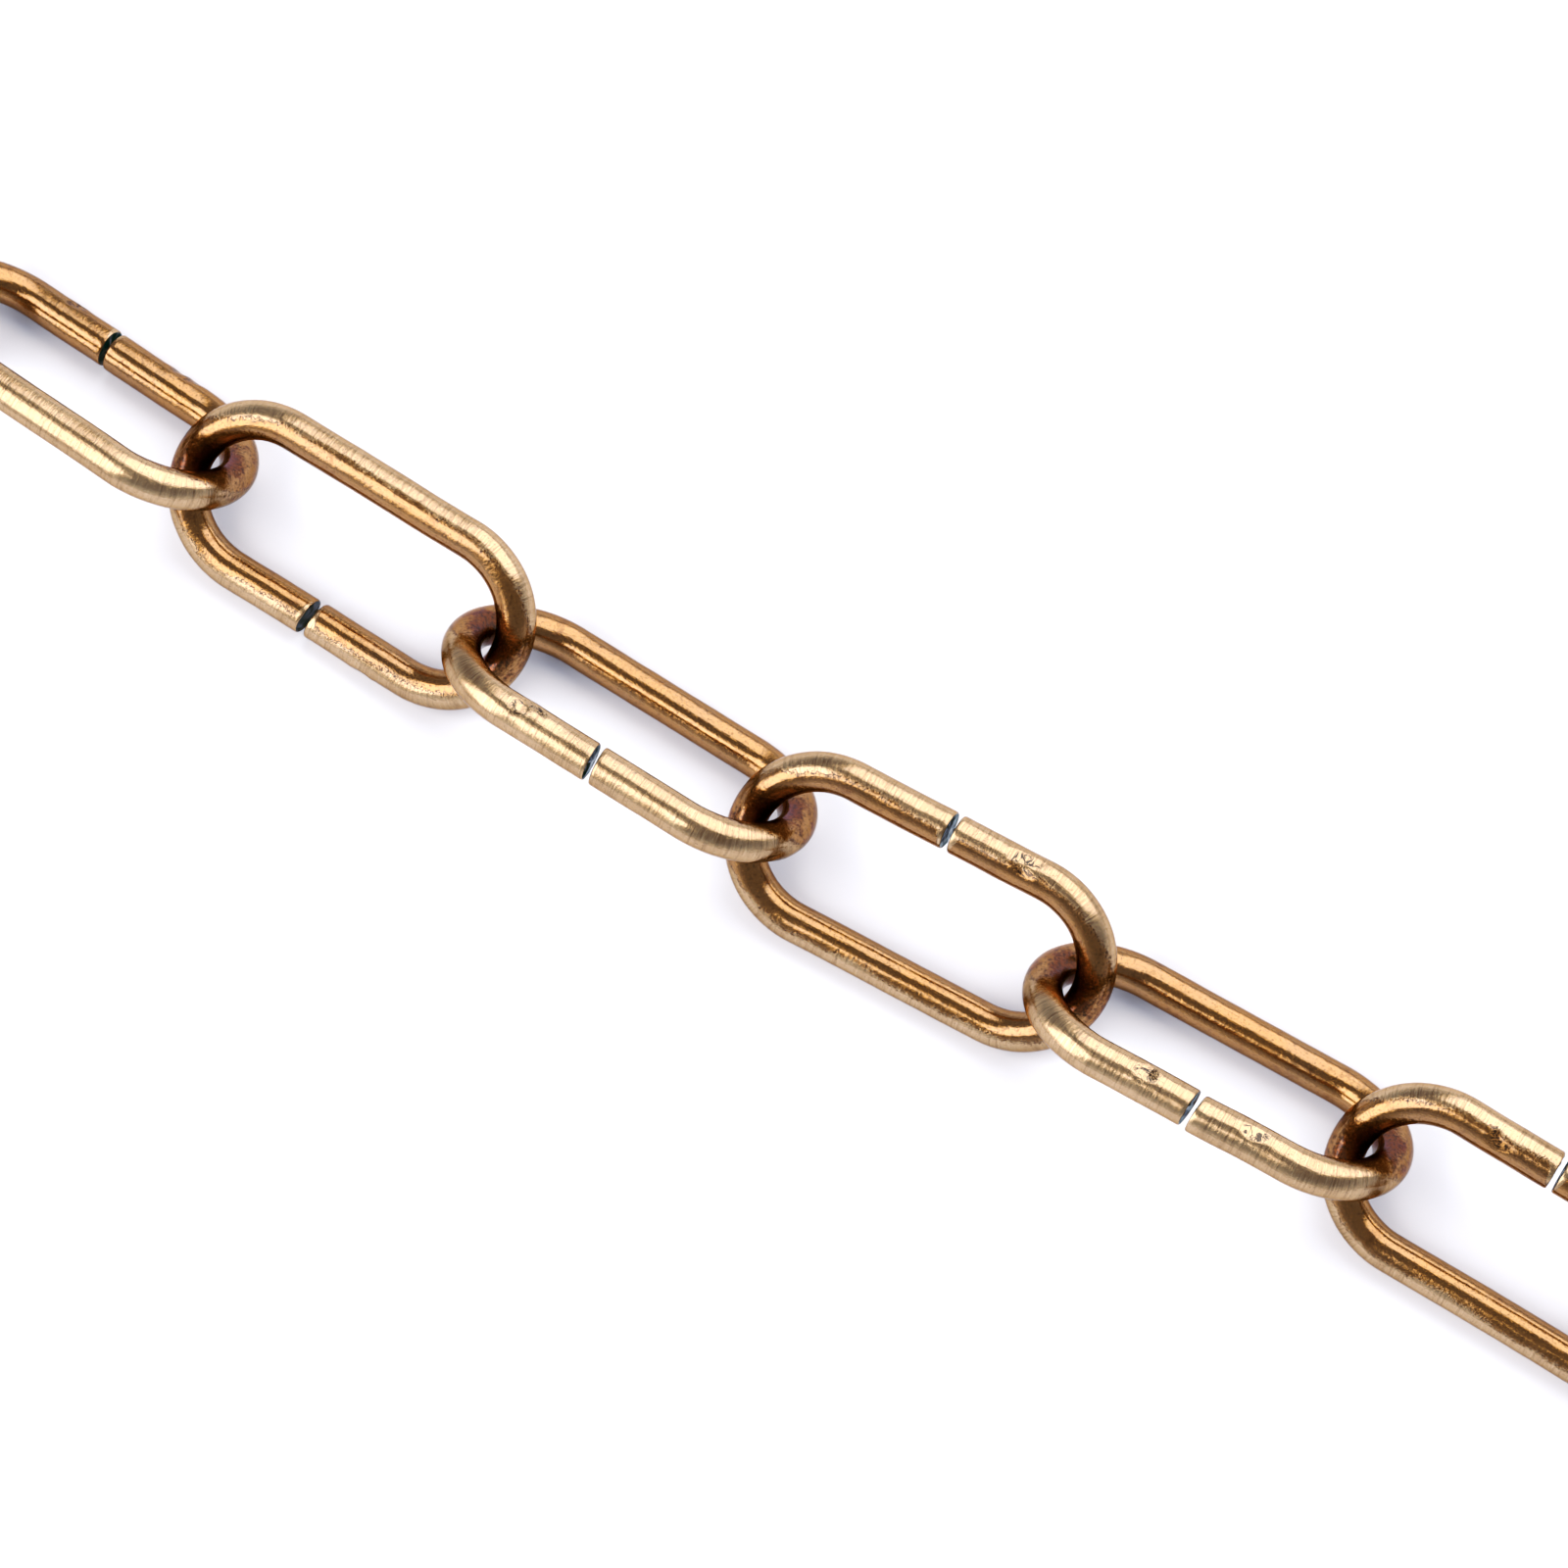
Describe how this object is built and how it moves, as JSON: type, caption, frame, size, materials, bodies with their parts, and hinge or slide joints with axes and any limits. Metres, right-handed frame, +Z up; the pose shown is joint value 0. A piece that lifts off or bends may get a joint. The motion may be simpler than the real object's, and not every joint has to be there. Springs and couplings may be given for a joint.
{
  "type": "pocket watch chain",
  "caption": "Chain of long oval open-butt wire links in antique brass, with a T-bar for a waistcoat buttonhole at one end and a sprung swivel clasp for the watch at the other.",
  "frame": {"origin": "on the table that the chain lies on, at the middle of its outline", "axes": "+X along the straight middle run, from the T-bar end towards the clasp end; +Z up from the table"},
  "size_m": [0.1352, 0.1218, 0.0073],
  "materials": {
    "antique_brass": "antiqued and relieved brass: satin gold-olive on the rubbed faces, brown in the recesses",
    "spring_steel": "plain drawn steel wire"
  },
  "bodies": {
    "link_01": {"link_01": "antique_brass"},
    "link_02": {"link_02": "antique_brass"},
    "link_03": {"link_03": "antique_brass"},
    "link_04": {"link_04": "antique_brass"},
    "link_05": {"link_05": "antique_brass"},
    "link_06": {"link_06": "antique_brass"},
    "link_07": {"link_07": "antique_brass"},
    "link_08": {"link_08": "antique_brass"},
    "link_09": {"link_09": "antique_brass"},
    "link_10": {"link_10": "antique_brass"},
    "link_11": {"link_11": "antique_brass"},
    "link_12": {"link_12": "antique_brass"},
    "link_13": {"link_13": "antique_brass"},
    "link_14": {"link_14": "antique_brass"},
    "t_bar_ring": {"t_bar_ring": "antique_brass"},
    "t_bar": {"t_bar": "antique_brass", "t_bar_eye": "antique_brass"},
    "clasp_ring": {"clasp_ring": "antique_brass"},
    "clasp_swivel": {"clasp_swivel": "antique_brass"},
    "clasp_hook": {"clasp_body": "antique_brass", "gate_pin": "spring_steel", "gate_spring": "spring_steel"},
    "clasp_gate": {"clasp_gate": "antique_brass"}
  },
  "joints": [
    {"name": "link_09_swing", "type": "hinge", "parent": "link_08", "child": "link_09", "pos_m": [0.0157, 0.00604, 0.00332], "axis": [-0.0395, 0.7537, 0.6561], "range_deg": [-140, 140]},
    {"name": "link_10_swing", "type": "hinge", "parent": "link_09", "child": "link_10", "pos_m": [0.03049, 0.00624, 0.00342], "axis": [-0.0255, 0.7309, -0.682], "range_deg": [-140, 140]},
    {"name": "link_11_swing", "type": "hinge", "parent": "link_10", "child": "link_11", "pos_m": [0.04527, 0.00636, 0.00332], "axis": [0, -0.7547, -0.6561], "range_deg": [-100, 100]},
    {"name": "link_12_swing", "type": "hinge", "parent": "link_11", "child": "link_12", "pos_m": [0.05766, 0.01415, 0.00337], "axis": [0.3716, -0.6436, 0.6691], "range_deg": [-100, 100]},
    {"name": "link_13_swing", "type": "hinge", "parent": "link_12", "child": "link_13", "pos_m": [0.06449, 0.02709, 0.00337], "axis": [-0.6436, 0.3716, 0.6691], "range_deg": [-100, 100]},
    {"name": "link_14_swing", "type": "hinge", "parent": "link_13", "child": "link_14", "pos_m": [0.06393, 0.04172, 0.00337], "axis": [-0.7431, 0, -0.6691], "range_deg": [-100, 100]},
    {"name": "link_07_swing", "type": "hinge", "parent": "link_08", "child": "link_07", "pos_m": [-0.00098, 0.00517, 0.00332], "axis": [-0.0395, 0.7537, 0.6561], "range_deg": [-140, 140]},
    {"name": "link_06_swing", "type": "hinge", "parent": "link_07", "child": "link_06", "pos_m": [-0.01575, 0.00559, 0.00346], "axis": [0.0126, 0.7192, -0.6947], "range_deg": [-140, 140]},
    {"name": "link_05_swing", "type": "hinge", "parent": "link_06", "child": "link_05", "pos_m": [-0.03054, 0.00605, 0.00332], "axis": [-0.0132, -0.7546, -0.6561], "range_deg": [-140, 140]},
    {"name": "link_04_swing", "type": "hinge", "parent": "link_05", "child": "link_04", "pos_m": [-0.04531, 0.00671, 0.00342], "axis": [-0.0383, -0.7304, 0.682], "range_deg": [-100, 100]},
    {"name": "link_03_swing", "type": "hinge", "parent": "link_04", "child": "link_03", "pos_m": [-0.05766, -0.00113, 0.00337], "axis": [-0.3716, 0.6436, 0.6691], "range_deg": [-100, 100]},
    {"name": "link_02_swing", "type": "hinge", "parent": "link_03", "child": "link_02", "pos_m": [-0.06449, -0.01408, 0.00337], "axis": [-0.6436, 0.3716, -0.6691], "range_deg": [-100, 100]},
    {"name": "link_01_swing", "type": "hinge", "parent": "link_02", "child": "link_01", "pos_m": [-0.06393, -0.0287, 0.00337], "axis": [0.7431, 0, -0.6691], "range_deg": [-100, 100]},
    {"name": "t_bar_ring_swing", "type": "hinge", "parent": "link_01", "child": "t_bar_ring", "pos_m": [-0.05614, -0.04109, 0.00337], "axis": [-0.6436, -0.3716, -0.6691], "range_deg": [-100, 100]},
    {"name": "t_bar_swing", "type": "hinge", "parent": "t_bar_ring", "child": "t_bar", "pos_m": [-0.05211, -0.04405, 0.00241], "axis": [-0.1422, -0.6106, 0.779], "range_deg": [-75, 75]},
    {"name": "clasp_ring_swing", "type": "hinge", "parent": "link_14", "child": "clasp_ring", "pos_m": [0.05614, 0.0541, 0.00337], "axis": [0.6436, 0.3716, -0.6691], "range_deg": [-100, 100]},
    {"name": "clasp_swing", "type": "hinge", "parent": "clasp_ring", "child": "clasp_swivel", "pos_m": [0.05164, 0.05676, 0.00234], "axis": [0.2655, 0.6773, 0.6861], "range_deg": [-80, 80]},
    {"name": "clasp_turn", "type": "hinge", "parent": "clasp_swivel", "child": "clasp_hook", "pos_m": [0.04739, 0.0562, 0.0022], "axis": [-1, 0, 0], "continuous": true},
    {"name": "gate_open", "type": "hinge", "parent": "clasp_hook", "child": "clasp_gate", "pos_m": [0.04045, 0.05295, 0.0022], "axis": [0, 0, -1], "range_deg": [0, 30], "stiffness_Nm_per_rad": 0.004, "springref_deg": -20.05}
  ]
}
